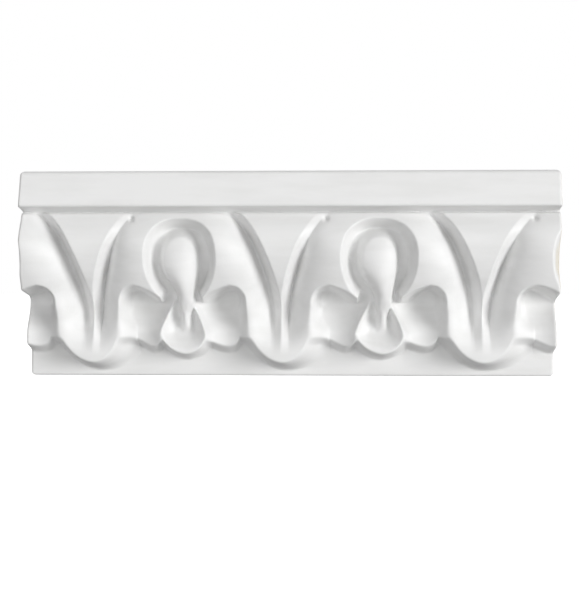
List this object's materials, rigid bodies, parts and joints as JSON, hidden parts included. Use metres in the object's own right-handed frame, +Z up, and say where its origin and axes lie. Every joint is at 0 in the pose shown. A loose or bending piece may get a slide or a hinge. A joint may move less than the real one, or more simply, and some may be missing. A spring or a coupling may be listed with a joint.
{
  "type": "polyurethane moulding",
  "caption": "Short sample length of a white carved moulding: leaves with darts between them, under a plain band and over a plain strip, with a flat back.",
  "frame": {"origin": "middle of the flat back face", "axes": "+X along the length, to the right as seen from the front; +Y into the wall, out of the back face; +Z up, towards the plain band"},
  "size_m": [0.2094, 0.03, 0.0808],
  "materials": {
    "primed_foam": "smooth cast polyurethane foam with a matt white primer"
  },
  "bodies": {
    "root": {"moulding": "primed_foam"}
  },
  "joints": []
}
